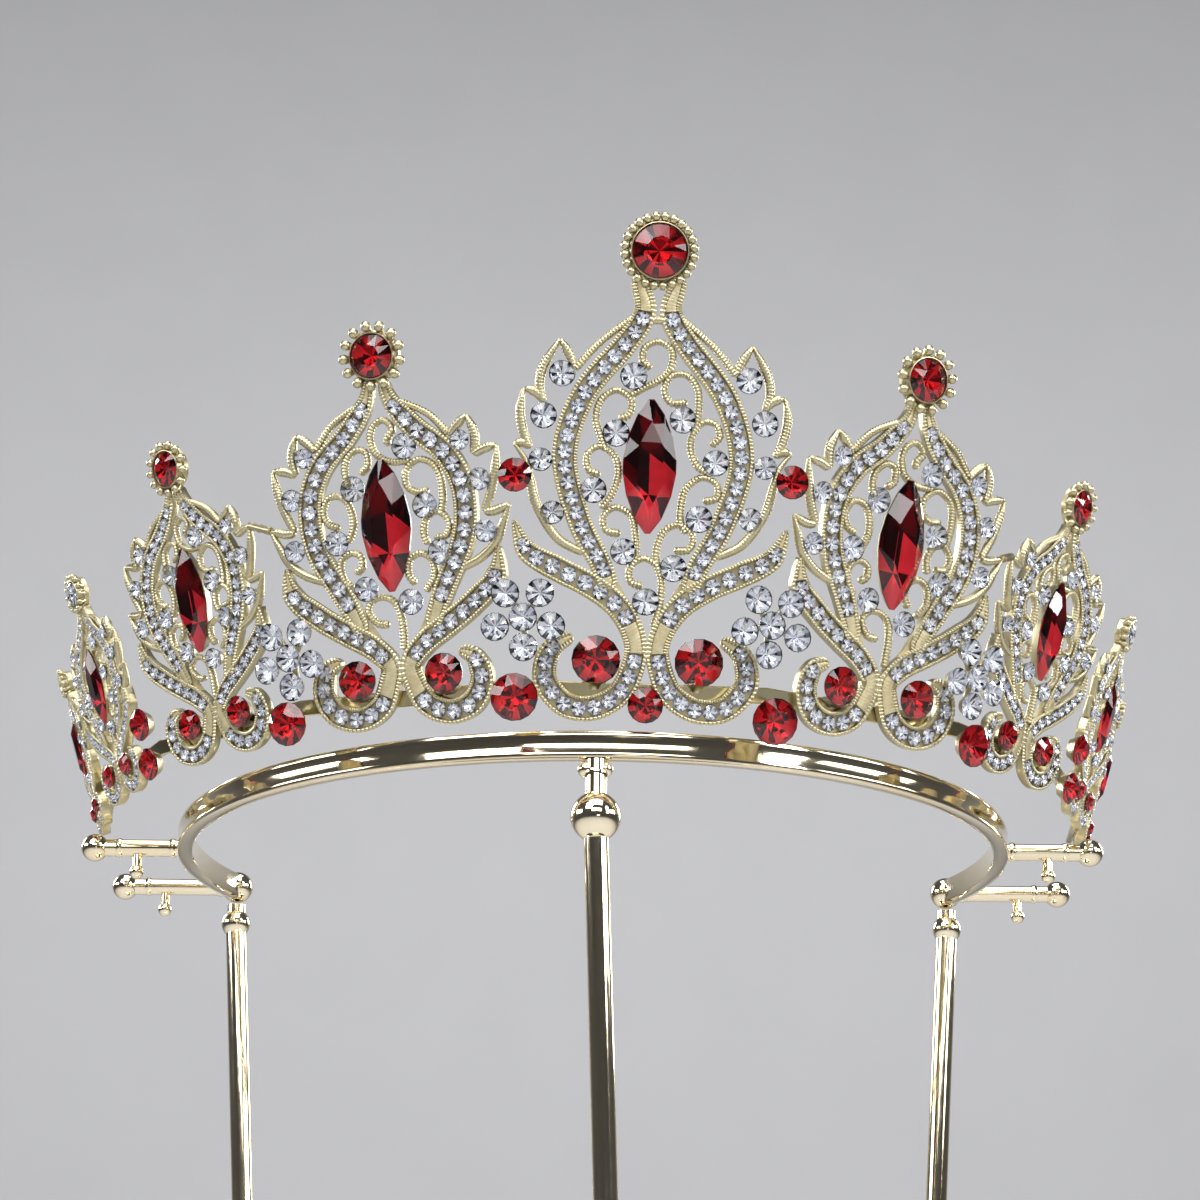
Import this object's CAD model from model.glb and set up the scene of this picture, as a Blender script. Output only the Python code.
# Pageant tiara on its plain display stand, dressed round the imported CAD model.
import math

import bmesh
import bpy
import numpy as np
from bpy.props import FloatProperty, FloatVectorProperty, IntProperty, PointerProperty
from mathutils import Matrix, Vector


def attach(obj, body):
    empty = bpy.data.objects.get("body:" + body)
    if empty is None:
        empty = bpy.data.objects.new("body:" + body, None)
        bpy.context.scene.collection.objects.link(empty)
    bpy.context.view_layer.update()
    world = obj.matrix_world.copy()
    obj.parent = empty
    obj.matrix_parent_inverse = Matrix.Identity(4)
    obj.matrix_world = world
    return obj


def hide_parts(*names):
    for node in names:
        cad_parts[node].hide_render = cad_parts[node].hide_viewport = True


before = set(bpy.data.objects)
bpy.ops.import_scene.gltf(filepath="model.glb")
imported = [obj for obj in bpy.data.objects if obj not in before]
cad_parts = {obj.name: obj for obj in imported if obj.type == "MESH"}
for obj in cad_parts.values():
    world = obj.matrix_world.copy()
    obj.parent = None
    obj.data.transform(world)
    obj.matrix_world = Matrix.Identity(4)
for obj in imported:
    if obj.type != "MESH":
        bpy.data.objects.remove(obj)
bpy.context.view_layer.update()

bl_info = {
    "name": "Pageant tiara on a display stand",
    "version": (1, 0, 0),
    "blender": (4, 5, 0),
    "location": "View3D > Sidebar > Tiara",
    "description": "Makes the castings, stones and stand of an openwork tiara, piece by piece",
    "category": "Add Mesh",
}

MM = 0.001

# Sizes of the tiara and its stand in millimetres, as in the CAD model.
RING_R = 75
FLARE = 17.5
TIARA_TURN = 5
TIARA_BACK = 12.5
SEAT_H = 140
CAST_T = 1.5
SEAT_GAP = 1.3
LINK_LIFT = 1.6
PAVE_D = 2.26
FLOWER_D = 3.85
FLOWER_REACH = 3.95
RAIL_R = 62
RAIL_H = 3.9
RAIL_T = 2.4
RAIL_HALF = 113
POST_D = 3.3
BALL_D = 6.8
PLATE_R = 66
PLATE_T = 4
STRIP_LOW, STRIP_H, STRIP_T = 3, 2.2, 1

UNDER_RAIL = SEAT_H - SEAT_GAP - RAIL_H
RAIL_END = (RAIL_R * math.sin(math.radians(RAIL_HALF)), -RAIL_R * math.cos(math.radians(RAIL_HALF)))

# Points along each ridge or rib, the height of a channel's floor where it is shut and how much lower it is
# under its stones, and the middle and greatest half depth of the vines.
PER_RIDGE = 4
FLOOR_TOP, FLOOR_DROP = 1.42, 0.52
VINE_MIDDLE, VINE_DEPTH = 0.82, 0.66

# The strip's rounding, its gap behind the castings, half the last casting's share of the ring in degrees, and
# how much shorter than that the strip ends.
STRIP_ROUND, STRIP_BACK = 0.18, 0.12
STRIP_END, STRIP_CUT = 9, 3.5

# How far in front of a casting's face, or of a link's place for the last three, each kind of stone has its
# widest part. A link's red stone sits higher by a part of its diameter.
MARQUISE_LIFT = 0.3
CREST_LIFT = 0.45
RED_LIFT = 0.38
CLEAR_LIFT = 0.08
PAVE_LIFT = -0.12
FLOWER_LIFT = 1.58
LINK_RED_LIFT = 0.42
LINK_RED_RISE = 0.28

# Each casting from the front outwards: angle and size on the left, the same on the right, number
# of stones beside the vines and in each flame edge.
STEPS = [
    ((0.2, 1), (-0.2, 1), 9, 4),
    ((24.6, 1), (24.4, 1), 7, 3),
    ((48, 0.825), (46.8, 0.81), 7, 3),
    ((69.2, 0.63), (66.4, 0.6), 7, 3),
    ((84.4, 0.478), (80.6, 0.46), 7, 2),
]

# Links between castings: the flower's height (0 where there is none) and its place towards the front,
# both as (left, right), then each red stone's height and place in the same way and its diameter.
LINKS = [
    ((13.5, 13.5), (0.9, 1.4), [((32.4, 32.8), (0.4, 0.6), 4.6), ((3, 0.8), (-0.5, -0.1), 6.4)]),
    ((11, 11.4), (1.3, 1.4), [((2.2, 2.2), (0, 0), 6)]),
    ((0, 0), (0, 0), [((7.6, 7.6), (1.4, 2), 4.7), ((1.8, 1.8), (1.4, 2), 4.7)]),
]

# Strands of the centre casting as [across, up], drawn for one half where the other mirrors it.
CENTRE = {
    "band": [[2.9, 59.8], [2.3, 57.8], [1.7, 55.4], [2.4, 53.2], [4.3, 50.4], [9.6, 43.5], [11.9, 35.3],
             [9.7, 26.8], [6.6, 21], [5.2, 17.6]],
    "leaf": [[18.4, 26.4], [16.5, 22.4], [12.3, 20.1], [8.2, 18.2], [4.8, 16], [2.6, 13.3], [1.5, 10.2]],
    "scroll": [[1.5, 10.2], [1.8, 7.4], [3.4, 3.9], [6.8, 1.8], [10.7, 2.1], [13.5, 5.4], [12.9, 9.2], [10, 11.3]],
    "arc": [[3.2, 54.2], [7.6, 50.6], [10.9, 46.8]],
    "flame": [
        [[10.9, 46.6], [11.7, 48.8], [13, 50.9]],
        [[13, 50.9], [15.1, 47], [15.5, 44.4], [14.9, 42.2]],
        [[14.9, 42.6], [16, 43.6], [17.6, 44.1]],
        [[17.6, 44.1], [18, 41], [17.4, 38], [16.5, 36]],
        [[16.5, 36.2], [17.4, 36.8], [18.7, 36.7]],
        [[18.7, 36.7], [17, 34.4], [16.4, 32.2], [15.3, 28.4], [12.4, 24.2], [8.8, 22.4]],
    ],
    "vines": [
        [[-0.6, 47.4], [-1.8, 48.4], [-1.5, 50.2], [0.4, 51], [2.1, 49.8], [2, 47.6], [0.4, 45.8], [-1.6, 44.7],
         [-3.4, 43.6]],
        [[-4.8, 40.4], [-3.4, 41.2], [-3.2, 43.1], [-5.2, 44.3], [-7.3, 42.8], [-7.8, 40.2], [-7, 37.8],
         [-6.2, 36]],
        [[4.4, 43], [2.2, 42.9], [1.2, 44.6], [2.2, 46.5], [4.3, 46.6], [5.8, 44.6], [5.9, 41.6], [5.2, 38.6]],
        [[7.7, 37.3], [8.9, 38.6], [8.3, 40.2], [6.6, 40.4], [5.2, 38.6], [5.1, 36.4], [6, 34.6], [7.4, 33.6]],
        [[-7, 32.8], [-8.6, 33.6], [-8.8, 35.6], [-7, 36.7], [-5, 35.2], [-4.6, 32.6], [-5.6, 30], [-6.8, 28.4]],
        [[6.9, 29.8], [8.8, 30.4], [8.6, 32.3], [6.6, 33], [4.6, 31.5], [4, 29.2], [4, 27], [4.8, 25.4]],
        [[-4, 25.1], [-5.9, 25.5], [-6.4, 27.3], [-4.8, 28.6], [-2.7, 27.6], [-2, 25], [-1.9, 22.4], [-2.6, 20.4]],
        [[3.2, 23.1], [5.2, 23.3], [5.7, 25], [4.2, 26.5], [2.2, 26], [1.1, 24.2], [0.9, 21.8], [1.6, 19.4]],
        [[-0.8, 18.1], [-2.4, 18.8], [-2.6, 20.6], [-0.9, 21.9], [1, 21], [1.7, 18.6], [1.5, 15.6], [0.8, 12.6]],
    ],
    "vine_stones": [(-3, 46.2, 3.7), (3.8, 40.6, 3.7), (-5.1, 38.5, 3.7), (8.4, 35, 3.6), (-7.9, 30.8, 3.6),
                    (6.4, 27.4, 3.7), (-3.6, 22.7, 3.6), (3.15, 20.7, 3.7), (-0.4, 16.1, 3.7)],
    "flame_stones": [(12.6, 46.2, 3.6), (14.9, 40.5, 3.6), (15.1, 34.6, 3.2), (13.3, 27.6, 3.2)],
    "marquise": (-0.5, 34.2, 7.2, 18),
    "crest": (-0.1, 63.1, 7.4, 24),
    "reds": [(-6.8, 8.2, 6.6), (7, 8.2, 6.6), (0, 2.3, 4.8)],
    "web": [[6, 20.9], [5.07, 20.6], [4.7, 19.4], [3.5, 17.7], [2.7, 16], [2, 14.4], [1.6, 12.6], [2.4, 13],
            [4.6, 16], [6.4, 17.4]],
    "band_w": [2.1, 3.1, 3.2, 3.3, 3.3, 3.2, 3, 2.6],
    "pave": {"band": (0.13, 0.94, 19), "leaf": (0.15, 0.835, 8), "scroll": (0.08, 0.88, 11)},
}

# The same for the castings of both sides, at the size of the first.
SIDE = {
    "band": [[1.1, 47.2], [1.5, 45.2], [2.6, 43.2], [5.3, 40], [8.8, 36.8], [10.9, 32.8], [11.3, 28.4], [10.3, 24],
             [7.3, 18.4], [5.6, 14.8], [4.95, 13.4]],
    "leaf": [[15.5, 23.2], [14.7, 19.2], [11, 15.9], [7, 13.3], [3.8, 11.3], [1.5, 8.8]],
    "scroll": [[1.5, 8.8], [1.75, 6.4], [3.4, 3.2], [6.6, 1.8], [9.9, 2.8], [11.5, 5.8], [10.7, 8.8], [8.6, 9.9]],
    "arc": [[3, 44.2], [7, 42], [9.8, 38.8]],
    "flame": [
        [[9.8, 38.6], [10.8, 39.8], [12.5, 41.3]],
        [[12.5, 41.3], [13.4, 38.4], [13, 35.8]],
        [[13, 35.8], [14.4, 36.4], [16.4, 36.8]],
        [[16.4, 36.8], [16, 34], [15.1, 30.9], [13.8, 28]],
        [[13.8, 28], [15.4, 28], [17.5, 28.7]],
        [[17.5, 28.7], [16.2, 26], [15, 23.8], [12.8, 22], [9.8, 20.8]],
    ],
    "vines": [
        [[1.2, 38.4], [0.8, 39.2], [1.7, 40.6], [0.4, 41.9], [-1.2, 41], [-1.6, 39.2], [-0.8, 37.2], [1.2, 36.1],
         [4, 36.1]],
        [[-3.5, 34.9], [-2.3, 36], [-2.5, 37.8], [-4, 38.2], [-5.5, 36.8], [-5.7, 34.8], [-5, 33.2]],
        [[6.2, 31.8], [4.6, 31.6], [3.1, 32.6], [3.1, 34.6], [4.9, 36], [6.9, 35.3], [8, 33.4], [8.1, 30.6],
         [7.6, 28.2]],
        [[-7.2, 27.9], [-8.8, 28.7], [-9.4, 30.4], [-8.4, 32.2], [-6.6, 32.1], [-5.4, 30.4], [-5.2, 28],
         [-6.2, 25.8]],
        [[6.4, 25.2], [8.2, 25.5], [8.7, 27.2], [7.2, 28.8], [5.5, 28], [4.9, 26.2], [5.4, 24.4]],
        [[-5.5, 21.6], [-4.4, 22.4], [-4.6, 23.9], [-6.1, 24.4], [-7.5, 23.2], [-7.3, 21], [-6, 19.6]],
        [[3.1, 19.3], [2.2, 20.8], [2.6, 22.7], [4.3, 23.4], [5.8, 22.2], [5.9, 20], [4.4, 18.2]],
        [[-1.2, 14.3], [-2.9, 14.6], [-4.1, 16.4], [-3, 17.9], [-1, 17.8], [0.3, 16.4], [0.7, 14], [0.6, 10.6]],
    ],
    "vine_stones": [(3.4, 38, 3.6), (-4.6, 33, 3.6), (5.6, 29.7, 3.6), (-7.6, 25.9, 3.5), (7.2, 23.3, 3.5),
                    (-3.9, 19.3, 3.5), (2.4, 17, 3.6)],
    "flame_stones": [(11.4, 37.9, 2.8), (13.7, 32.4, 3.1), (13.9, 25.4, 3.1)],
    "marquise": (-0.1, 27.6, 7.2, 18),
    "crest": (0, 50.6, 6, 13),
    "reds": [(-6.3, 7.1, 5.4), (6.3, 7.1, 5.4)],
    "web": [[5.4, 15.6], [4.4, 15.8], [3.9, 14.5], [3, 13], [2.2, 11.7], [1.4, 10.4], [1.4, 9.4], [2.2, 10],
            [3.8, 11.5], [5.4, 12.8]],
    "band_w": [1.4, 2.9, 3.2, 3.3, 3.3, 3.2, 3, 2.4],
    "pave": {"band": (0.105, 0.88, 14), "leaf": (0.2, 0.92, 8), "scroll": (0.25, 0.87, 7)},
}

# Places of a flower's stones: the middle and five petals.
FLOWER = [(0, 0)] + [(FLOWER_REACH * math.cos(a), FLOWER_REACH * math.sin(a))
                     for a in (math.radians(53 + 72 * i) for i in range(5))]

# Widths along the strands, from end to end.
LEAF_W = [0.5, 2.7, 3.3, 3.3, 3.3, 3.2, 2.95]
SCROLL_W = [2.95, 3.2, 3.3, 3.3, 3.3, 3, 1.6]
THORN_W = [1.15, 1.3, 1.3, 0.45]
ARC_W = [0.9, 1]
VINE_W = [1.1, 0.85, 0.9, 0.95, 1]
NECK_W = [1.3, 1.1, 1.3]

# Right half of a marquise's outline and of its table, as parts of the half width and half length.
MARQUISE_EDGE = [(0.1, 1), (0.5, 0.78), (0.84, 0.44), (1, 0.1), (1, -0.1), (0.84, -0.44), (0.5, -0.78), (0.1, -1)]
MARQUISE_TABLE = [(0, 0.66), (0.46, 0.29), (0.46, -0.29), (0, -0.66)]
MARQUISE_RIDGE = (0.2, -0.42)
MARQUISE_CROWN = 1.35
MARQUISE_DEPTH = 1.2

# The marquise's cup: how far each of its outlines is grown, and how far out it lies.
MARQUISE_CUP = [(0.6, 0), (0.8, 0.15), (0.97, 1.3), (0.99, 1.58), (0.96, 1.6), (0.93, 1.3), (0.1, 0.08)]

# Radii along the soldered bar between the first and the second casting of a side, and along a petal's stem.
SOLDER_BAR = [0.55, 0.62, 0.5, 0.62, 0.5, 0.62, 0.55]
PETAL_STEM = [0.5, 0.42, 0.5]

# Cuts of the round stones, as parts of the diameter or radius. wedges and heart give the order of the bright
# (1), dark (2) and mirror (3) wedges of the pavilion, outside and at the middle. All have the same girdle,
# and the middle wedges start at the same part of the radius and of the depth.
GIRDLE = 0.03
HEART_R, HEART_DEPTH = 0.42, 0.68
RED_CUT = {"crown": 0.18, "depth": 0.24, "ring": 0.08,
           "wedges": (1, 2, 1, 1, 2, 2, 1, 2), "heart": (2, 2, 1, 2, 2, 1)}
CREST_CUT = {**RED_CUT, "table": 0.5, "crown": 0.17, "depth": 0.2}
LINK_RED_CUT = {**RED_CUT, "depth": 0.27}
CLEAR_CUT = {"table": 0.5, "crown": 0.18, "depth": 0.36}
FLOWER_CUT = {**CLEAR_CUT, "depth": 0.34}
PAVE_CUT = {"table": 0.5, "crown": 0.2, "depth": 0.2, "sides": 6}

SIDES = (("left", -1), ("right", 1))
OUTER = [(k, word, side) for k in range(1, 5) for word, side in SIDES]


# Places in the tiara, as 4 x 4 matrices in millimetres.
def move(x, y, z):
    m = np.eye(4)
    m[:3, 3] = (x, y, z)
    return m


def turn(axis, degrees):
    """A turn about axis 0, 1 or 2."""
    a, b = [k for k in range(3) if k != axis]
    c, s = math.cos(math.radians(degrees)), math.sin(math.radians(degrees))
    m = np.eye(4)
    m[a, a] = m[b, b] = c
    m[a, b], m[b, a] = (s, -s) if axis == 1 else (-s, s)
    return m


def on_ring(angle, radius=RING_R, lean=FLARE):
    """A place on the ring of feet, with x across, y up the leaning front and z out of it."""
    return move(0, TIARA_BACK, SEAT_H) @ turn(2, angle + TIARA_TURN) @ move(0, -radius, 0) @ turn(0, 90 + lean)


def step_of(k, side):
    return STEPS[k][0 if side < 0 else 1]


def casting_place(k, side):
    return on_ring(side * step_of(k, side)[0])


def casting_size(k, side):
    return step_of(k, side)[1]


def on_casting(k, side, x, y, out):
    """A place at a point of the casting's pattern, out in front of its back."""
    s = casting_size(k, side)
    return casting_place(k, side) @ move(x * s, y * s, out)


def pattern(k):
    return CENTRE if k == 0 else SIDE


def link_place(k, side, up, towards_front):
    """In front of the line on which castings k and k + 1 meet."""
    half = (step_of(k + 1, side)[0] - step_of(k, side)[0]) / 2
    spread = math.cos(math.radians(half))
    lean = math.degrees(math.atan(math.tan(math.radians(FLARE)) / spread))
    here = 0 if side < 0 else 1
    return (on_ring(side * (step_of(k, side)[0] + half), RING_R / spread, lean)
            @ move(-side * towards_front[here], up[here], LINK_LIFT))


# Gathering of points and faces into pieces.
class Piece:
    """Points, faces and finishes of one piece, gathered in millimetres."""

    def __init__(self, name):
        self.name = name
        self.points, self.faces, self.slots, self.count = [], [], [], 0

    def add(self, points, faces, place=None, slot=0):
        points = np.asarray(points, dtype=float)
        if place is not None:
            points = points @ place[:3, :3].T + place[:3, 3]
        self.points.append(points)
        self.faces.extend([[i + self.count for i in f] for f in faces])
        self.slots.extend(slot if isinstance(slot, list) else [slot] * len(faces))
        self.count += len(points)

    def make(self, finishes, slot, nodes=(), smooth=None):
        """Makes the object. smooth is the angle above which an edge stays sharp, or None for flat facets."""
        mesh = bpy.data.meshes.new(self.name)
        mesh.from_pydata((np.concatenate(self.points) * MM).tolist(), [], self.faces)
        mesh.polygons.foreach_set("material_index", self.slots)
        bm = bmesh.new()
        bm.from_mesh(mesh)
        bmesh.ops.recalc_face_normals(bm, faces=bm.faces)
        bm.to_mesh(mesh)
        bm.free()
        for made in finishes:
            mesh.materials.append(made)
        if smooth is not None:
            mesh.shade_smooth()
            mesh.set_sharp_from_angle(angle=math.radians(smooth))
        obj = bpy.data.objects.new(self.name, mesh)
        bpy.context.scene.collection.objects.link(obj)
        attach(obj, "root")
        if nodes:
            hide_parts(*nodes)


def ring_faces(rows, columns, closed_rows=False):
    """Quads of a tube whose rows are closed rings."""
    grid = np.arange(rows * columns).reshape(rows, columns)
    if closed_rows:
        grid = np.vstack([grid, grid[:1]])
    after = np.roll(grid, -1, axis=1)
    return np.stack([grid[:-1], after[:-1], after[1:], grid[1:]], -1).reshape(-1, 4).tolist()


def tube(piece, rings, place=None, slot=0):
    """A closed skin over rings of points, with a flat cap at each end."""
    rings = np.asarray(rings, dtype=float)
    rows, columns = rings.shape[:2]
    faces = ring_faces(rows, columns)
    faces.append(list(range(columns)))
    faces.append(list(range((rows - 1) * columns, rows * columns)))
    piece.add(rings.reshape(-1, 3), faces, place, slot)


def around(sides):
    """The angles of a ring of points."""
    return np.arange(sides) * 2 * math.pi / sides


def turned(radii, heights, sides):
    """Rings of points about the upright axis."""
    a = around(sides)
    return np.stack([np.outer(radii, np.cos(a)), np.outer(radii, np.sin(a)),
                     np.repeat(np.asarray(heights)[:, None], sides, axis=1)], -1)


def lathe(piece, profile, place, sides, ring=False):
    """A turned form from (radius, height) points; with ring, the profile closes on itself round a hole."""
    profile = np.asarray(profile, dtype=float)
    rings = turned(profile[:, 0], profile[:, 1], sides)
    if ring:
        piece.add(rings.reshape(-1, 3), ring_faces(len(profile), sides, closed_rows=True), place)
    else:
        tube(piece, rings, place)


def ball(piece, centre, radius, sides, place=None, squash=(1, 1, 1)):
    """A ball of sides points round and half as many rings, flattened by squash along each axis."""
    rows = sides // 2
    t = (np.arange(rows) + 0.5) * math.pi / rows
    rings = turned(np.sin(t), np.cos(t), sides)
    tube(piece, rings * radius * np.asarray(squash) + np.asarray(centre), place)


def rod(piece, start, end, radii, sides, place=None):
    """A round rod along a straight line, with a radius at each of its evenly spaced rings."""
    start, end = np.asarray(start, float), np.asarray(end, float)
    way = (end - start) / np.linalg.norm(end - start)
    first = np.cross(way, [0, 0, 1] if abs(way[2]) < 0.9 else [1, 0, 0])
    first /= np.linalg.norm(first)
    second = np.cross(way, first)
    a = around(sides)
    circle = np.outer(np.cos(a), first) + np.outer(np.sin(a), second)
    rings = [start + (end - start) * i / (len(radii) - 1) + circle * r for i, r in enumerate(radii)]
    tube(piece, rings, place)


def distances(path):
    """The distance from a path's start to each of its points."""
    return np.concatenate([[0], np.cumsum(np.linalg.norm(np.diff(path, axis=0), axis=1))])


def smooth_path(points, step, per_ridge=PER_RIDGE):
    """Even points along a smooth curve, a whole number of ridges long."""
    p = np.asarray(points, dtype=float)
    q = np.vstack([p[:1], p, p[-1:]])
    t = np.linspace(0, 1, 24, endpoint=False)[None, :, None]
    a, b, c, d = (q[i:len(q) - 3 + i, None] for i in range(4))
    dense = 0.5 * (2 * b + (c - a) * t + (2 * a - 5 * b + 4 * c - d) * t ** 2 + (3 * b - a - 3 * c + d) * t ** 3)
    dense = np.vstack([dense.reshape(-1, 2), p[-1:]])
    length = distances(dense)
    ridges = max(round(length[-1] / (step * per_ridge)), 1)
    even = np.linspace(0, length[-1], ridges * per_ridge + 1)
    return np.stack([np.interp(even, length, dense[:, k]) for k in (0, 1)], 1)


def along(path, table):
    """A table's value at each point of a path."""
    return np.interp(np.linspace(0, 1, len(path)), np.linspace(0, 1, len(table)), table)


def sweep(piece, path, section, place, floor=None):
    """Carries a closed section, a row of [across, out] points for each step, along a flat path. floor names
    the column of the section that has the second finish."""
    tangent = np.gradient(path, axis=0)
    tangent /= np.linalg.norm(tangent, axis=1)[:, None]
    side = np.stack([-tangent[:, 1], tangent[:, 0]], 1)
    rings = np.concatenate([path[:, None] + section[..., :1] * side[:, None], section[..., 1:]], -1)
    rows, columns = section.shape[:2]
    tube(piece, rings, place, [int(c == floor) for c in range(columns)] * (rows - 1) + [0, 0])


# Strands, settings and stones of a casting.
def channel_strand(piece, points, widths, rows, scale, sizes, place):
    """A strand with a ridged rim on both sides of the channels that hold its rows of stones.

    widths holds pairs of a distance along the strand and the width there, and rows the distances of the
    first and last stone of each row."""
    step = sizes.milgrain_pitch / PER_RIDGE
    path = smooth_path(np.asarray(points) * scale, step)
    run = distances(path)
    half = np.interp(run / scale, *zip(*widths)) * scale / 2
    ridge = np.abs(np.sin(np.arange(len(path)) * math.pi / PER_RIDGE))
    ends = np.clip(np.minimum(run, run[-1] - run) / half, 0, 1)
    half = half * np.sqrt(np.clip(1 - (1 - ends) ** 2, 0.05, 1))
    reach = PAVE_D * scale * 0.5
    opened = 0 * run
    for first, last in rows:
        begun, ahead = run - first * scale + reach, last * scale + reach - run
        opened += np.clip(begun / 0.2, 0, 1) * np.clip(ahead / 0.2, 0, 1)
    opened = np.clip(opened, 0, 1)
    rim = np.minimum(0.45 * scale + 0.05 + 0.2 * (1 - opened), half * 0.7)
    floor = FLOOR_TOP - FLOOR_DROP * opened
    high = sizes.milgrain_height * ridge
    top = CAST_T - 0.1
    right = [
        (half - 0.2 * scale, 0 * half), (half, 0.25 + 0 * half), (half + 0.02, top - 0.3 + 0 * half),
        (half + 0.35 * high, top - 0.1 + 0.5 * high), (half - rim * 0.3, top + high),
        (half - rim * 0.7, top + high), (half - rim, top - 0.1 + 0.5 * high), (half - rim - 0.03, floor),
    ]
    section = [np.stack(r, -1) for r in right] + [np.stack((-r[0], r[1]), -1) for r in reversed(right)]
    sweep(piece, path, np.stack(section, 1), place, len(right) - 1)


def rope_strand(piece, points, widths, scale, sizes, place, ribs=1.0):
    """A round strand with slanting ribs and rounded ends."""
    columns = 10
    step = sizes.rib_pitch / PER_RIDGE
    path = smooth_path(np.asarray(points) * scale, step)
    half = along(path, widths) * scale / 2
    run = np.arange(len(path)) * step
    end = np.minimum(run, run[-1] - run) / half
    half = half * np.sqrt(np.clip(1 - (1 - np.clip(end, 0, 1)) ** 2, 0.02, 1))
    a = around(columns)
    ridge = np.abs(np.sin(np.arange(len(path))[:, None] * math.pi / PER_RIDGE + a[None] * 0.5))
    swell = 1 + ribs * sizes.rib_height * (ridge - 0.5) * (0.35 + 0.65 * (np.sin(a)[None] > -0.3))
    depth = np.minimum(half * 1.5, VINE_DEPTH)[:, None]
    section = np.stack([half[:, None] * np.cos(a) * swell, VINE_MIDDLE + depth * np.sin(a) * swell], -1)
    sweep(piece, path, section, place)


def strand_length(points):
    return distances(smooth_path(points, 0.05, 1))[-1]


def row_of(shape, key):
    """Widths along one of a casting's channel strands, and the distances of its first and last stone."""
    length, table = strand_length(shape[key]), {"band": shape["band_w"], "leaf": LEAF_W, "scroll": SCROLL_W}[key]
    first, last, _ = shape["pave"][key]
    return [(length * i / (len(table) - 1), w) for i, w in enumerate(table)], (first * length, last * length)


def both_halves(points):
    """A strand as drawn, and its mirror image."""
    return points, [[-x, y] for x, y in points]


def even_places(points, first, last, count):
    """Places of the stones of a strand."""
    path = smooth_path(points, 0.02, 1)
    return [path[round((first + (last - first) * i / (count - 1)) * (len(path) - 1))] for i in range(count)]


def pad(piece, d, level, place, low=0.1):
    """The cup that a round stone is glued in, just narrower than the stone."""
    r = d / 2
    lathe(piece, [(r * 0.4, low - 0.1), (r * 0.6, low), (r * 0.88, level - 0.5), (r * 0.95, level - 0.3),
                  (r * 0.9, level - 0.27), (r * 0.45, (level + low) / 2 - 0.35), (r * 0.1, low)], place, 24)


def band(first, second, n):
    """Quads between two rings of n points, by the number of each ring's first point."""
    return [[first + i, second + i, second + (i + 1) % n, first + (i + 1) % n] for i in range(n)]


def chaton(piece, d, place, crown, depth, sides=8, table=0.52, wedges=(1, 3, 1, 2), ring=0.12, heart=()):
    """A round cut stone: table, star and kite facets on a crown, and a pavilion of bright and dark wedges
    inside a narrow dark ring, with a second tier of wedges round its lowest point where heart names them."""
    r, n = d / 2, 2 * sides

    def level(radius, height, count=n):
        return [(radius * math.cos(t), radius * math.sin(t), height) for t in around(count)]

    points = level(r * table, d * crown, sides) + level(r, 0) + level(r, -d * GIRDLE)
    points += level(r * (1 - ring), -d * (GIRDLE + (depth - GIRDLE) * ring)) + [(0, 0, -d * depth)]
    g, h, q, tip = sides, 3 * sides, 5 * sides, 7 * sides
    upper = [list(range(sides))]
    for i in range(sides):
        j = (i + 1) % sides
        upper += [[i, g + 2 * i + 1, j], [i, g + 2 * i, g + 2 * i + 1], [j, g + 2 * i + 1, g + (2 * i + 2) % n]]
    upper += band(g, h, n)
    slots = [0] * len(upper) + [2] * n + [wedges[i % len(wedges)] for i in range(n)]
    if heart:
        points += level(HEART_R * r, -d * depth * HEART_DEPTH)
        lower = band(q, tip + 1, n) + [[tip + 1 + i, tip, tip + 1 + (i + 1) % n] for i in range(n)]
        slots += [heart[i % len(heart)] for i in range(n)]
    else:
        lower = [[q + i, tip, q + (i + 1) % n] for i in range(n)]
    piece.add(points, upper + band(h, q, n) + lower, place, slots)


def marquise_outline(w, l):
    """The whole outline, from half the width and half the length."""
    edge = [(x * w, y * l) for x, y in MARQUISE_EDGE]
    return edge + [(-x, y) for x, y in reversed(edge)]


def marquise_stone(piece, width, length, place, crown, depth):
    """A long pointed stone with a six-sided table over a low ridge, dark above and bright below."""
    w, l = width / 2, length / 2
    edge = marquise_outline(w, l)
    table = [(x * w, y * l) for x, y in MARQUISE_TABLE]
    table += [(-x, y) for x, y in reversed(table[1:-1])]
    n = len(edge)
    points = [(x, y, crown) for x, y in table] + [(x, y, 0) for x, y in edge] + [(x, y, -0.25) for x, y in edge]
    points += [(0, l * y, -depth) for y in MARQUISE_RIDGE]
    g, h, low = 6, 6 + n, 6 + 2 * n
    upper = [[0, 1, 2, 3, 4, 5]]
    for t0, t1, t2, t3, e in ((0, 1, 2, 3, list(range(8))), (0, 5, 4, 3, list(range(15, 7, -1)))):
        e = [g + i for i in e]
        upper += [[t0, e[0], e[1]], [t0, e[1], t1], [t1, e[1], e[2]], [t1, e[2], e[3]], [t1, e[3], e[4], t2],
                  [t2, e[4], e[5]], [t2, e[5], e[6]], [t2, e[6], t3], [t3, e[6], e[7]]]
    upper += [[0, g + 15, g], [3, g + 7, g + 8]] + band(g, h, n)
    lower, bright = [], []
    above = [edge[i][1] + edge[(i + 1) % n][1] > -0.001 for i in range(n)]
    for i in range(n):
        j = (i + 1) % n
        lower.append([h + i, low if above[i] else low + 1, h + j])
        bright.append(not above[i] and i % 4 != 1)
        if above[i] != above[j]:
            lower.append([h + j, low, low + 1])
            bright.append(above[i])
    piece.add(points, upper + lower, place, [0] * len(upper) + [1 if b else 2 for b in bright])


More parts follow.
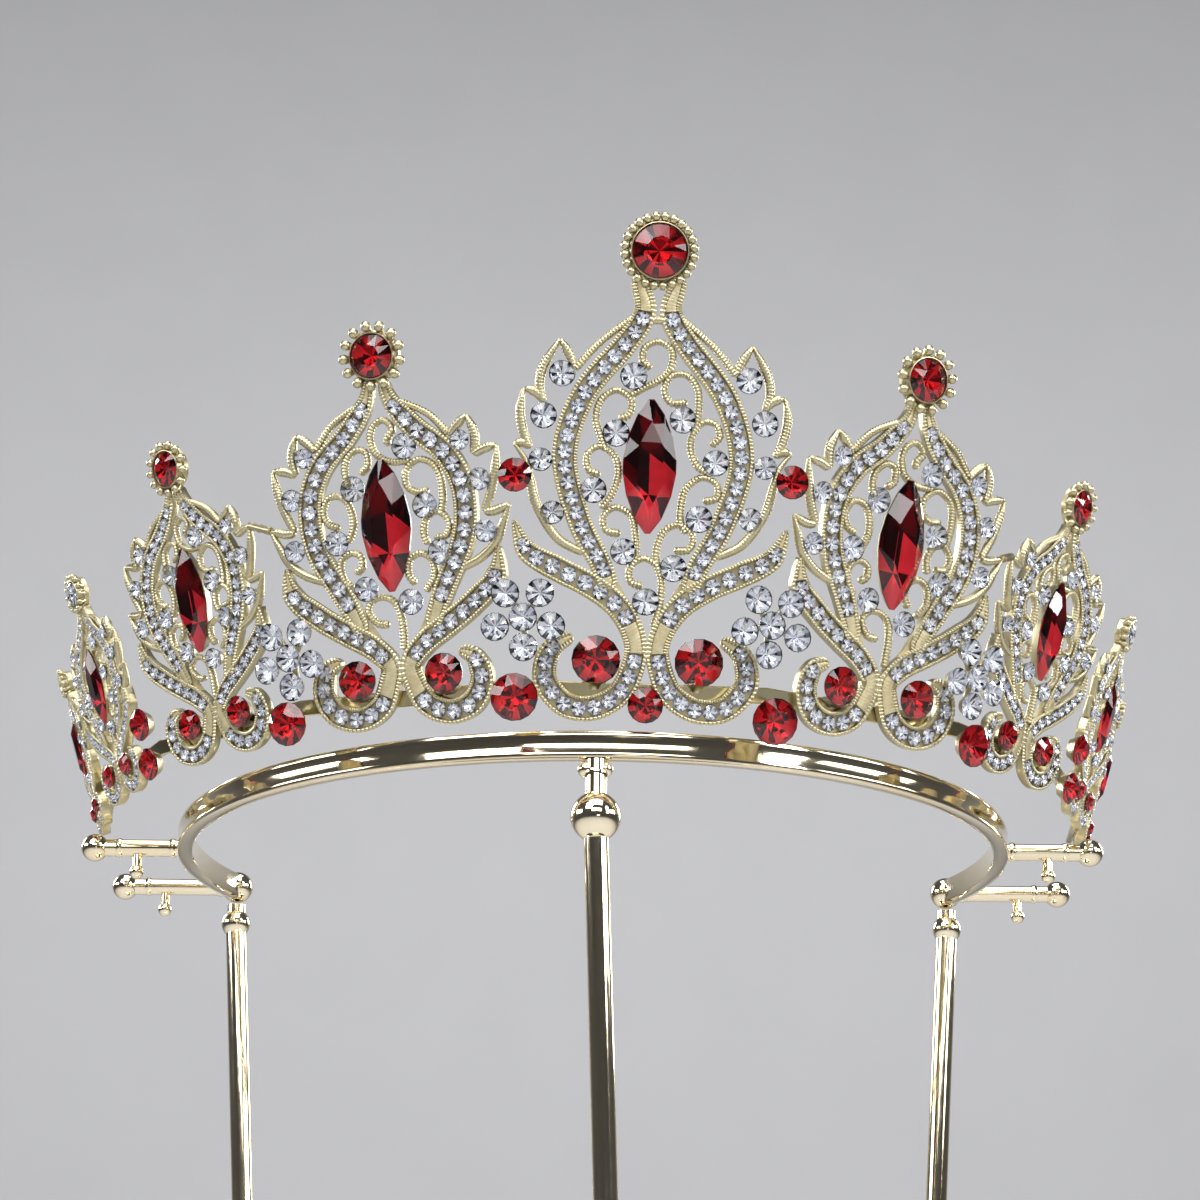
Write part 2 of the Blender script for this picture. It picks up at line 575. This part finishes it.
def chance(n):
    """The seeded chance of one kind of stones."""
    return np.random.default_rng(bpy.context.scene.tiara_sizes.seed + n)


def loose_turn(random, tilt=2.5):
    """The small chance turn and tilt with which a stone sits in its setting."""
    a, b, c = random.uniform(-1, 1, 3)
    return turn(2, a * 180) @ turn(0, b * tilt) @ turn(1, c * tilt)


def beaded_crest(piece, crest, scale, place, claws):
    """The crest's round cup with its ring of beads, or of ball-ended claws on the side castings."""
    x, y, d, beads = crest
    r = d / 2 * scale
    here = place @ move(x * scale, y * scale, 0)
    wide = (d / 2 + 0.62) * scale
    lathe(piece, [(wide - 0.3, 0), (wide, 0.2), (wide, 0.95), (wide - 0.25, 1.15), (r, 1.2), (0.3, 0.2)], here, 40)
    lathe(piece, [(r + 0.02, 1), (r + 0.04, CAST_T + 0.5), (r + 0.1, CAST_T + 0.62), (r + 0.2, CAST_T + 0.6),
                  (r + 0.27, CAST_T + 0.45), (r + 0.34 * scale, 1)], here, 48, ring=True)
    reach = (d / 2 + 1.0) * scale
    size = (0.78 if claws else 0.63) * scale
    for i in range(beads):
        spin = here @ turn(2, (i + 0.5) * 360 / beads)
        if claws:
            rod(piece, (reach - 0.9 * scale, 0, 0.7), (reach + 0.05, 0, 1.55),
                [0.4 * scale, 0.55 * scale, 0.6 * scale], 10, spin)
            ball(piece, (reach + 0.1 * scale, 0, 1.75), size, 12, spin, (1, 0.92, 0.95))
        else:
            ball(piece, (reach, 0, 1.35), size, 14, spin)


def casting_metal(k, side, tail):
    """One pierced casting: ridged strands, ribbed vines, thorned edge, cups and crest."""
    sizes = bpy.context.scene.tiara_sizes
    shape, s, place = pattern(k), casting_size(k, side), casting_place(k, side)
    piece = Piece(f"pierced_casting_{tail}")
    rows = {key: row_of(shape, key) for key in shape["pave"]}
    leaf_end = strand_length(shape["leaf"])
    swirl = shape["leaf"][:-1] + shape["scroll"]
    swirl_widths = rows["leaf"][0][:-1] + [(d + leaf_end, w) for d, w in rows["scroll"][0]]
    swirl_rows = [rows["leaf"][1], tuple(d + leaf_end for d in rows["scroll"][1])]
    for half in both_halves(shape["web"]):
        tube(piece, [[(x * s, y * s, z) for x, y in half] for z in (0.3, 1.0)], place, 1)
    for points, widths, stones in ((shape["band"], rows["band"][0], [rows["band"][1]]),
                                   (swirl, swirl_widths, swirl_rows)):
        for half in both_halves(points):
            channel_strand(piece, half, widths, stones, s, sizes, place)
    for half in both_halves(shape["arc"]):
        rope_strand(piece, half, ARC_W, s, sizes, place)
    for i, strand in enumerate(shape["flame"]):
        for half in both_halves(strand):
            rope_strand(piece, half[::-1] if i % 2 else half, THORN_W, s, sizes, place, 0.4)
    for vine in shape["vines"]:
        rope_strand(piece, vine, VINE_W, s, sizes, place)
    for stones, level in ((clear_places(k), CAST_T + 0.05), (shape["reds"], CAST_T + 0.2)):
        for x, y, d in stones:
            pad(piece, d * s, level, on_casting(k, side, x, y, 0))
    for x, y, d in shape["reds"][:2]:
        foot = (x * s, STRIP_LOW + STRIP_H * 0.6, 0.3)
        rod(piece, foot, (x * s, (y - d * 0.42) * s, 0.5), [0.7 * s, 0.75 * s, 1.1 * s, 1.8 * s], 12, place)
    x, y, w, l = shape["marquise"]
    edge = np.array(marquise_outline(w / 2, l / 2)) * s
    rings = [np.column_stack([edge * (grow, max(grow, 0.5 + grow / 2)), np.full(len(edge), z)])
             for grow, z in MARQUISE_CUP]
    tube(piece, rings, on_casting(k, side, x, y, 0))
    if shape is CENTRE:
        rope_strand(piece, [[-1.3, 54], [0, 53.9], [1.3, 54]], NECK_W, s, sizes, place, 0.3)
    beaded_crest(piece, shape["crest"], s, place, shape is SIDE)
    piece.make([cast_gold(), floor_gold()], "cast_gold", [f"casting_{tail}"], 50)


def clear_places(k):
    shape = pattern(k)
    vines, flames = shape["vine_stones"][-STEPS[k][2]:], shape["flame_stones"][-STEPS[k][3]:]
    return vines + flames + [(-x, y, d) for x, y, d in flames]


def all_castings():
    """Number, side and the ending of the node names of each casting."""
    return [(0, 1, "centre")] + [(k, side, f"{word}_{k}") for k, word, side in OUTER]


# Finishes.
def times(colour, factors):
    return tuple(c * f for c, f in zip(colour, factors))


def noise(tree, scale, detail=2.0, roughness=0.5):
    where = tree.nodes.get("where") or tree.nodes.new("ShaderNodeTexCoord")
    where.name = "where"
    node = tree.nodes.new("ShaderNodeTexNoise")
    for key, value in (("Scale", scale), ("Detail", detail), ("Roughness", roughness)):
        node.inputs[key].default_value = value
    tree.links.new(where.outputs["Object"], node.inputs["Vector"])
    return node.outputs["Fac"]


def ramp(tree, source, stops, target):
    """Drives a socket from a pattern, with two stops of a value and the colour or grey there."""
    node = tree.nodes.new("ShaderNodeValToRGB")
    for stop, (at, colour) in zip(node.color_ramp.elements, stops):
        stop.position, stop.color = at, (*colour, 1) if isinstance(colour, tuple) else (colour, colour, colour, 1)
    tree.links.new(source, node.inputs["Fac"])
    tree.links.new(node.outputs["Color"], target)


def finish(name, values, pattern, tints, polish=None, relief=None):
    """A finish, made once only for each name.

    values go on the shader's own sockets. tints are the two stops of the colour, which follows a noise or,
    where pattern is None, the hollows. polish is a noise and the two stops of the roughness. relief is a
    noise, the strength of its bump and the height of that in metres."""
    made = bpy.data.materials.get(name)
    if made:
        return made
    made = bpy.data.materials.new(name)
    made.use_nodes = True
    tree = made.node_tree
    shader = tree.nodes["Principled BSDF"]
    for key, value in values.items():
        shader.inputs[key].default_value = value
    source = noise(tree, *pattern) if pattern else tree.nodes.new("ShaderNodeNewGeometry").outputs["Pointiness"]
    ramp(tree, source, tints, shader.inputs["Base Color"])
    if polish:
        ramp(tree, noise(tree, *polish[0]), polish[1:], shader.inputs["Roughness"])
    if relief:
        node = tree.nodes.new("ShaderNodeBump")
        node.inputs["Strength"].default_value, node.inputs["Distance"].default_value = relief[1:]
        tree.links.new(noise(tree, *relief[0]), node.inputs["Height"])
        tree.links.new(node.outputs["Normal"], shader.inputs["Normal"])
    return made


# Noise, strength and height of a cast surface's grain.
CAST_GRAIN = ((2600, 3.0, 0.6), 0.15, 0.00005)


def cast_gold():
    """Pale yellow plate over a cast surface: grainy, with duller and darker hollows."""
    pale = tuple(bpy.context.scene.tiara_colours.cast_gold)
    return finish("cast gold", {"Metallic": 1}, None, [(0.4, times(pale, (0.42, 0.35, 0.25))), (0.52, pale)],
                  ((900,), (0.3, 0.28), (0.7, 0.42)), CAST_GRAIN)


def floor_gold():
    """The castings' plate where it is left matt: channel floors and smooth webs."""
    pale = tuple(min(c * 1.15, 1) for c in bpy.context.scene.tiara_colours.cast_gold)
    return finish("floor gold", {"Metallic": 0.6}, (700, 3), [(0.35, times(pale, (0.85, 0.8, 0.7))), (0.65, pale)],
                  ((900,), (0.3, 0.4), (0.7, 0.55)), CAST_GRAIN)


def strip_gold():
    """The castings' plate on rolled metal, which is smoother."""
    pale = tuple(bpy.context.scene.tiara_colours.cast_gold)
    return finish("strip gold", {"Metallic": 1}, (120,), [(0.35, pale), (0.7, times(pale, (0.92, 0.86, 0.76)))],
                  ((500, 3), (0.3, 0.12), (0.75, 0.22)))


def stand_gold():
    """Champagne plate with a mirror polish and faint wiping marks."""
    pale = tuple(bpy.context.scene.tiara_colours.stand_gold)
    return finish("stand gold", {"Metallic": 1}, (60,), [(0.35, pale), (0.7, times(pale, (0.97, 0.93, 0.86)))],
                  ((400, 4), (0.3, 0.05), (0.75, 0.1)), ((250,), 0.06, 0.0002))


def glass(name, colour):
    """Cut glass, faintly uneven in its tint."""
    return finish(name, {"Roughness": 0, "IOR": 1.58, "Transmission Weight": 1}, (90,),
                  [(0.35, colour), (0.7, times(colour, (0.94, 0.94, 0.97)))])


def foil(name, colour, polish, metallic):
    """The coating behind a stone: satin where it looks bright, a mirror where it looks dark."""
    return finish(name, {"Metallic": metallic}, (500,), [(0.4, colour), (0.7, times(colour, (0.9, 0.9, 0.9)))],
                  ((700,), (0.3, polish), (0.7, polish * 1.6)))


def clear_finishes():
    """Glass and the bright, dark and mirror foils of a clear stone."""
    return [glass("clear glass", tuple(bpy.context.scene.tiara_colours.clear_glass)),
            foil("bright silver foil", (0.96, 0.97, 1.0), 0.35, 0),
            foil("dark silver foil", (0.3, 0.32, 0.38), 0.05, 1),
            foil("mirror silver foil", (0.8, 0.83, 0.9), 0.08, 1)]


def red_finishes(long_stone=False):
    """Glass and the bright and dark foils of a red stone; a long stone's are paler and deeper."""
    bright, dark = ("bright red foil", (0.8, 0.3, 0.28)), ("dark red foil", (0.26, 0.04, 0.05))
    if long_stone:
        bright, dark = ("pale red foil", (0.9, 0.5, 0.55)), ("deep red foil", (0.12, 0.02, 0.03))
    return [glass("red glass", tuple(bpy.context.scene.tiara_colours.red_glass)),
            foil(*bright, 0.3, 0.2), foil(*dark, 0.04, 1)]


def set_stones(piece, k, side, stones, lift, cut, random):
    """Round stones on a casting, each with its small chance turn."""
    for x, y, d in stones:
        place = on_casting(k, side, x, y, CAST_T + lift) @ loose_turn(random)
        chaton(piece, d * casting_size(k, side), place, **cut)


# What the user may change.
class TiaraSizes(bpy.types.PropertyGroup):
    milgrain_pitch: FloatProperty(name="Milgrain pitch", description="Length of one ridge of a rim, in millimetres",
                                  default=0.46, min=0.3, max=0.8)
    milgrain_height: FloatProperty(name="Milgrain height", description="How far a ridge stands out, in millimetres",
                                   default=0.2, min=0, max=0.3)
    rib_pitch: FloatProperty(name="Rib pitch", description="Length of one rib of a vine, in millimetres",
                             default=0.46, min=0.3, max=0.8)
    rib_height: FloatProperty(name="Rib height", default=0.34, min=0, max=0.5,
                              description="How far a rib swells the vine, as a part of its width")
    seed: IntProperty(name="Stone seed", description="Chooses the chance turns of the stones", default=7, min=0)


class TiaraColours(bpy.types.PropertyGroup):
    cast_gold: FloatVectorProperty(name="Casting gold", description="Plate of the castings", subtype="COLOR",
                                   default=(0.55, 0.495, 0.32), min=0, max=1)
    stand_gold: FloatVectorProperty(name="Stand gold", description="Plate of the stand", subtype="COLOR",
                                    default=(0.88, 0.78, 0.58), min=0, max=1)
    clear_glass: FloatVectorProperty(name="Clear glass", description="Tint of the clear stones", subtype="COLOR",
                                     default=(0.97, 0.98, 1.0), min=0, max=1)
    red_glass: FloatVectorProperty(name="Red glass", description="Tint of the red stones", subtype="COLOR",
                                   default=(0.84, 0.04, 0.06), min=0, max=1)
    floor: FloatVectorProperty(name="Floor", description="Colour of the floor and wall", subtype="COLOR",
                               default=(0.6, 0.6, 0.61), min=0, max=1)


class TIARA_OT_castings(bpy.types.Operator):
    """Make the nine pierced castings"""
    bl_idname = "tiara.castings"
    bl_label = "Castings"

    def execute(self, context):
        for k, side, tail in all_castings():
            casting_metal(k, side, tail)
        return {"FINISHED"}


class TIARA_OT_marquises(bpy.types.Operator):
    """Make the long red stone of each casting"""
    bl_idname = "tiara.marquises"
    bl_label = "Marquises"

    def execute(self, context):
        for k, side, tail in all_castings():
            x, y, w, l = pattern(k)["marquise"]
            s = casting_size(k, side)
            piece = Piece(f"cut_marquise_{tail}")
            marquise_stone(piece, w * s, l * s, on_casting(k, side, x, y, CAST_T + MARQUISE_LIFT),
                           MARQUISE_CROWN * s, MARQUISE_DEPTH * s)
            piece.make(red_finishes(True), "red_glass", [f"marquise_{tail}"])
        return {"FINISHED"}


class TIARA_OT_crest_stones(bpy.types.Operator):
    """Make the round stone on top of each casting that has one"""
    bl_idname = "tiara.crest_stones"
    bl_label = "Crest stones"

    def execute(self, context):
        for k, side, tail in all_castings():
            if k == 4:
                continue
            x, y, d, _ = pattern(k)["crest"]
            piece = Piece(f"cut_crest_{tail}")
            place = on_casting(k, side, x, y, CAST_T + CREST_LIFT) @ turn(2, 90)
            chaton(piece, d * casting_size(k, side), place, sides=10 if k == 0 else 8, **CREST_CUT)
            piece.make(clear_finishes() if k == 3 else red_finishes(), "clear_glass" if k == 3 else "red_glass",
                       [f"crest_stone_{tail}"])
        return {"FINISHED"}


class TIARA_OT_red_stones(bpy.types.Operator):
    """Make the round red stones in the scrolls of the castings"""
    bl_idname = "tiara.red_stones"
    bl_label = "Red stones"

    def execute(self, context):
        random = chance(0)
        for k, side, tail in all_castings():
            piece = Piece(f"cut_reds_{tail}")
            set_stones(piece, k, side, pattern(k)["reds"], RED_LIFT, RED_CUT, random)
            piece.make(red_finishes(), "red_glass", [f"red_stones_{tail}"] if k < 4 else [])
        return {"FINISHED"}


class TIARA_OT_clear_stones(bpy.types.Operator):
    """Make the clear stones beside the vines and in the thorned edges"""
    bl_idname = "tiara.clear_stones"
    bl_label = "Clear stones"

    def execute(self, context):
        random = chance(1)
        for k, side, tail in all_castings():
            piece = Piece(f"cut_clears_{tail}")
            set_stones(piece, k, side, clear_places(k), CLEAR_LIFT, CLEAR_CUT, random)
            piece.make(clear_finishes(), "clear_glass", [f"clear_stones_{tail}"])
        return {"FINISHED"}


class TIARA_OT_small_stones(bpy.types.Operator):
    """Make the rows of small stones in the channels"""
    bl_idname = "tiara.small_stones"
    bl_label = "Small stones"

    def execute(self, context):
        random = chance(2)
        for k, side, tail in all_castings():
            s = casting_size(k, side)
            piece = Piece(f"channel_stones_{tail}")
            for key, (first, last, count) in pattern(k)["pave"].items():
                d = min(PAVE_D, strand_length(pattern(k)[key]) * (last - first) / (count - 1)) * s
                for x, y in even_places(pattern(k)[key], first, last, count):
                    for mirror in (1, -1):
                        place = on_casting(k, side, mirror * x, y, CAST_T + PAVE_LIFT)
                        chaton(piece, d * random.uniform(0.96, 1), place @ loose_turn(random, 5), **PAVE_CUT)
            piece.make(clear_finishes(), "clear_glass", ["small_stones_centre"] if k == 0 else [])
        return {"FINISHED"}


class TIARA_OT_links(bpy.types.Operator):
    """Make the cups and flowers that join neighbouring castings"""
    bl_idname = "tiara.links"
    bl_label = "Links"

    def execute(self, context):
        for k, (flower, flower_shift, reds) in enumerate(LINKS):
            for word, side in SIDES:
                piece = Piece(f"soldered_link_{word}_{k + 1}")
                if flower[0]:
                    place = link_place(k, side, flower, flower_shift)
                    for i, (x, y) in enumerate(FLOWER):
                        pad(piece, FLOWER_D, 1.55, place @ move(x, y, 0), 0)
                        if i:
                            rod(piece, (x * 0.3, y * 0.3, 0.1), (x * 0.7, y * 0.7, 0.1), PETAL_STEM, 10, place)
                for up, shift, d in reds:
                    place = link_place(k, side, up, shift)
                    pad(piece, d, 0.4 + d * LINK_RED_RISE, place, 0)
                if k == 1:
                    ends = [on_casting(n, side, way * side * x, y, 0.8)[:3, 3]
                            for n, way, (x, y) in ((1, 1, SIDE["flame"][4][2]), (2, -1, SIDE["flame"][2][2]))]
                    rod(piece, *ends, SOLDER_BAR, 12)
                piece.make([cast_gold()], "cast_gold", [f"link_{word}_{k + 1}"], 50)
        return {"FINISHED"}


class TIARA_OT_link_stones(bpy.types.Operator):
    """Make the stones of the flowers and the red stones between the castings"""
    bl_idname = "tiara.link_stones"
    bl_label = "Link stones"

    def execute(self, context):
        random = chance(3)
        for word, side in SIDES:
            flowers, reds = Piece(f"cut_flower_stones_{word}"), Piece(f"cut_link_reds_{word}")
            for k, (flower, flower_shift, red_list) in enumerate(LINKS):
                for x, y in FLOWER if flower[0] else []:
                    place = link_place(k, side, flower, flower_shift) @ move(x, y, FLOWER_LIFT) @ loose_turn(random)
                    chaton(flowers, FLOWER_D, place, **FLOWER_CUT)
                for up, shift, d in red_list:
                    place = link_place(k, side, up, shift)
                    place = place @ move(0, 0, LINK_RED_LIFT + d * LINK_RED_RISE) @ loose_turn(random)
                    chaton(reds, d, place, **LINK_RED_CUT)
            flowers.make(clear_finishes(), "clear_glass", [f"flower_stones_{word}"])
            reds.make(red_finishes(), "red_glass", [f"link_stones_{word}"])
        return {"FINISHED"}


class TIARA_OT_strip(bpy.types.Operator):
    """Make the flat strip behind the castings"""
    bl_idname = "tiara.strip"
    bl_label = "Strip"

    def execute(self, context):
        places = []
        for k, side in [(k, -1) for k in range(4, 0, -1)] + [(0, 1)] + [(k, 1) for k in range(1, 5)]:
            for way in (-1, 1):
                other = k + 1 if side == way or k == 0 else k - 1
                last = other == len(STEPS)
                half = STRIP_END if last else abs(step_of(other, side if k else way)[0] - step_of(k, side)[0]) / 2
                reach = (RING_R + STRIP_LOW * math.sin(math.radians(FLARE))) * math.tan(math.radians(half))
                places.append((casting_place(k, side), way * (reach - (STRIP_CUT if last else 0))))
        r = STRIP_ROUND
        edge = [(-STRIP_T, r), (-STRIP_T + r, 0), (-r, 0), (0, r), (0, STRIP_H - r), (-r, STRIP_H),
                (-STRIP_T + r, STRIP_H), (-STRIP_T, STRIP_H - r)]
        rings = []
        for place, across in places:
            local = np.array([(across, STRIP_LOW + up, -STRIP_BACK + out) for out, up in edge])
            rings.append(local @ place[:3, :3].T + place[:3, 3])
        joined = [rings[0]] + [(rings[i] + rings[i + 1]) / 2 for i in range(1, len(rings) - 1, 2)] + [rings[-1]]
        piece = Piece("back_strip")
        tube(piece, joined)
        piece.make([strip_gold()], "cast_gold", ["strip"], 30)
        return {"FINISHED"}


class TIARA_OT_rail(bpy.types.Operator):
    """Make the polished C-shaped rail with its ball-ended arms"""
    bl_idname = "tiara.rail"
    bl_label = "Rail"

    def execute(self, context):
        piece = Piece("polished_rail")
        mid = SEAT_H - SEAT_GAP - RAIL_H / 2
        a, b = RAIL_T / 2, RAIL_H / 2
        profile = [(-a, -b + 0.5), (-a + 0.15, -b + 0.15), (-a + 0.5, -b), (0, -b), (a - 0.5, -b),
                   (a - 0.15, -b + 0.15), (a, -b + 0.45), (a - 0.06, -b + 0.8), (a - 0.2, -0.3), (a - 0.2, 0.3),
                   (a - 0.06, b - 0.9), (a, b - 0.55), (a - 0.15, b - 0.15), (a - 0.5, b), (0, b),
                   (-a + 0.5, b), (-a + 0.15, b - 0.15), (-a, b - 0.5)]
        rings = []
        for angle in np.linspace(-RAIL_HALF, RAIL_HALF, 160):
            c, s = math.cos(math.radians(angle)), math.sin(math.radians(angle))
            rings.append([((RAIL_R + out) * s, -(RAIL_R + out) * c, mid + up) for out, up in profile])
        tube(piece, rings)
        for side in (-1, 1):
            ball(piece, (side * RAIL_END[0], RAIL_END[1], mid), 2.5, 32)
            arm(piece, side, RAIL_R - 0.6, -2.5, 14.5, mid + (-0.1 if side < 0 else 0.4))
            arm(piece, side, RAIL_END[0], RAIL_END[1], 18, mid)
        piece.make([stand_gold()], "stand_gold", ["rail"], 40)
        return {"FINISHED"}


def arm(piece, side, start, y, reach, level):
    """An arm that reaches outwards from the rail, with a collar, a ball and small pegs."""
    def at(x, up=0.0):
        return (side * (start + x), y, level + up)

    rod(piece, at(0), at(reach), [1.3, 1.3], 28)
    for x in (reach - 4.2, 2.2):
        rod(piece, at(x), at(x + 0.9), [1.35, 1.5, 1.5, 1.35], 28)
    ball(piece, at(reach), 2.1, 32)
    rod(piece, at(reach - 6.5, -1.0), at(reach - 6.5, -3.6), [0.7, 0.7], 16)
    ball(piece, at(reach - 6.5, -3.7), 1.1, 20)


def post(piece, foot, head, ball_d, below, short):
    """A post with its flange on the plate, its ball below the rail, and a pin that ends short of the rail."""
    top = np.array([*head, UNDER_RAIL - below])
    low = np.array([*foot, PLATE_T + 1])
    r = POST_D / 2
    lathe(piece, [(r + 2, 0.1), (r + 2, 0.9), (r + 1.75, 1.3), (r + 1.1, 1.55), (r + 0.4, 1.8), (r, 2.4)],
          move(*foot, PLATE_T), 40)
    rod(piece, low, top, [r, r], 40)
    ball(piece, top, ball_d / 2, 48)
    rod(piece, top, top + [0, 0, below - short], [r - 0.15, r - 0.15], 32)


class TIARA_OT_posts(bpy.types.Operator):
    """Make the three posts of the stand"""
    bl_idname = "tiara.posts"
    bl_label = "Posts"

    def execute(self, context):
        front = Piece("polished_front_post")
        post(front, (4, -RAIL_R + 4), (0, -RAIL_R), BALL_D, 7.8, 0.1)
        for across, size in ((-1.3, 1.2), (1.2, 1.1), (0, 1.7)):
            ball(front, (across, -RAIL_R, UNDER_RAIL - size - 0.12), size, 24, None, (1, 0.9, 1))
        front.make([stand_gold()], "stand_gold", ["front_post"], 40)
        for word, side in SIDES:
            rear = Piece(f"polished_rear_post_{word}")
            post(rear, (side * (RAIL_END[0] - 9), RAIL_END[1] - 4), (side * RAIL_END[0], RAIL_END[1]), 4.6, 4, 1)
            rear.make([stand_gold()], "stand_gold", [f"rear_post_{word}"], 40)
        return {"FINISHED"}


class TIARA_OT_plate(bpy.types.Operator):
    """Make the round plate that the stand rests on"""
    bl_idname = "tiara.plate"
    bl_label = "Plate"

    def execute(self, context):
        piece = Piece("polished_plate")
        r, t = PLATE_R, PLATE_T
        lathe(piece, [(0.5, 0), (r - 1, 0), (r - 0.3, 0.3), (r, 1), (r, t - 1.2), (r - 0.15, t - 0.6),
                      (r - 0.5, t - 0.2), (r - 1, t), (r - 4, t), (r - 4.4, t - 0.25), (r - 5.2, t - 0.25),
                      (r - 5.6, t), (0.5, t)], None, 160)
        piece.make([stand_gold()], "stand_gold", ["stand_plate"], 40)
        return {"FINISHED"}


# The stage in metres and degrees: name, place, target, size, power and spread of each light; the room's floor,
# its curve up into the wall and its height; the camera's place, tilt and small turns.
MIDDLE = (0, 0, 0.17)
LIGHTS = [
    ("key", (-0.36, -0.6, 0.66), MIDDLE, (0.42, 0.4), 1.2, 100),
    ("fill", (0.6, -0.5, 0.42), MIDDLE, (0.14, 0.4), 0.8, 90),
    ("front", (0.05, -0.9, 0.45), MIDDLE, (0.7, 0.22), 0.8, 90),
    ("over", (0, -0.5, 0.85), MIDDLE, (0.8, 0.45), 1.0, 90),
    ("side_left", (-0.85, -0.2, 0.38), MIDDLE, (0.5, 0.2), 0.6, 100),
    ("side_right", (0.85, -0.2, 0.38), MIDDLE, (0.5, 0.2), 0.5, 100),
    ("top", (0, 0, 0.95), (0, 0, 0), (0.5, 0.5), 0.8, 90),
    ("rim_left", (-0.6, 0.5, 0.5), MIDDLE, (0.2, 0.4), 0.25, 40),
    ("rim_right", (0.6, 0.55, 0.45), MIDDLE, (0.2, 0.4), 0.25, 40),
    ("wall", (0, 0.7, 1.2), (0, 3.1, 0.9), (1.6, 0.5), 36, 160),
    ("card", (0.11, -0.62, 0.07), (0, -0.07, 0.17), (0.12, 0.05), 0.05, 180),
]
BOUNCES = {"max_bounces": 7, "diffuse_bounces": 2, "glossy_bounces": 3, "transmission_bounces": 6}
ROOM_R, ROOM_CURVE, ROOM_H, ROOM_SIDES = 2.6, 0.5, 3.4, 96
CAMERA_PLACE = (-0.0024, -0.4425, 0.03)
CAMERA_LENS = 88.65
CAMERA_TURNS = ((-0.417, "Z"), (108.5, "X"), (0.394, "Z"))


def area_light(name, location, target, size, power, spread):
    """A soft lamp that the camera doesn't see, with its spread in degrees."""
    data = bpy.data.lights.new(name, "AREA")
    data.shape = "RECTANGLE"
    data.size, data.size_y = size
    data.energy = power
    data.spread = math.radians(spread)
    obj = bpy.data.objects.new(name, data)
    obj.location = location
    obj.rotation_euler = (Vector(target) - Vector(location)).to_track_quat("-Z", "Y").to_euler()
    obj.visible_camera = False
    bpy.context.scene.collection.objects.link(obj)


class TIARA_OT_stage(bpy.types.Operator):
    """Make the pale floor and wall, the soft lights and the camera"""
    bl_idname = "tiara.stage"
    bl_label = "Stage"

    def execute(self, context):
        scene = context.scene
        curve = [(ROOM_R + ROOM_CURVE * math.sin(t), ROOM_CURVE - ROOM_CURVE * math.cos(t))
                 for t in np.linspace(0, math.pi / 2, 12)]
        profile = np.array([(0.001, 0), *curve, (ROOM_R + ROOM_CURVE, ROOM_H)])
        rings = turned(profile[:, 0], profile[:, 1], ROOM_SIDES)
        mesh = bpy.data.meshes.new("studio_floor")
        mesh.from_pydata(rings.reshape(-1, 3).tolist(), [], ring_faces(len(profile), ROOM_SIDES))
        mesh.shade_smooth()
        pale = tuple(scene.tiara_colours.floor)
        mesh.materials.append(finish("studio paper", {"Roughness": 0.85}, (8,),
                                     [(0.4, pale), (0.6, times(pale, (0.985, 0.985, 0.985)))]))
        room = bpy.data.objects.new("studio_floor", mesh)
        scene.collection.objects.link(room)
        for light in LIGHTS:
            area_light(*light)
        world = scene.world or bpy.data.worlds.new("studio")
        scene.world = world
        world.use_nodes = True
        sky = world.node_tree.nodes["Background"].inputs
        sky["Color"].default_value, sky["Strength"].default_value = (0.9, 0.93, 1, 1), 0.1
        scene.view_settings.view_transform = "Standard"
        for name, count in BOUNCES.items():
            setattr(scene.cycles, name, count)
        data = bpy.data.cameras.new("camera")
        data.sensor_width = 36
        data.lens = CAMERA_LENS
        data.clip_start = 0.01
        camera = bpy.data.objects.new("camera", data)
        aim = Matrix.Translation(CAMERA_PLACE)
        for angle, axis in CAMERA_TURNS:
            aim = aim @ Matrix.Rotation(math.radians(angle), 4, axis)
        camera.matrix_world = aim
        scene.collection.objects.link(camera)
        scene.camera = camera
        return {"FINISHED"}


STAGES = [TIARA_OT_stage, TIARA_OT_plate, TIARA_OT_posts, TIARA_OT_rail, TIARA_OT_strip, TIARA_OT_castings,
          TIARA_OT_marquises, TIARA_OT_crest_stones, TIARA_OT_red_stones, TIARA_OT_clear_stones,
          TIARA_OT_small_stones, TIARA_OT_links, TIARA_OT_link_stones]


class TIARA_PT_pieces(bpy.types.Panel):
    """Lists the sizes, the colours and the pieces of the tiara"""
    bl_idname = "TIARA_PT_pieces"
    bl_label = "Tiara"
    bl_space_type = "VIEW_3D"
    bl_region_type = "UI"
    bl_category = "Tiara"

    def draw(self, context):
        for group in (context.scene.tiara_sizes, context.scene.tiara_colours):
            for name in group.__annotations__:
                self.layout.prop(group, name)
        for stage in STAGES:
            self.layout.operator(stage.bl_idname)


CLASSES = [TiaraSizes, TiaraColours, *STAGES, TIARA_PT_pieces]


def register():
    for c in CLASSES:
        bpy.utils.register_class(c)
    bpy.types.Scene.tiara_sizes = PointerProperty(type=TiaraSizes)
    bpy.types.Scene.tiara_colours = PointerProperty(type=TiaraColours)


def unregister():
    del bpy.types.Scene.tiara_colours
    del bpy.types.Scene.tiara_sizes
    for c in reversed(CLASSES):
        bpy.utils.unregister_class(c)


def main():
    register()
    for stage in STAGES:
        group, name = stage.bl_idname.split(".")
        getattr(getattr(bpy.ops, group), name)()


if __name__ == "__main__":
    main()
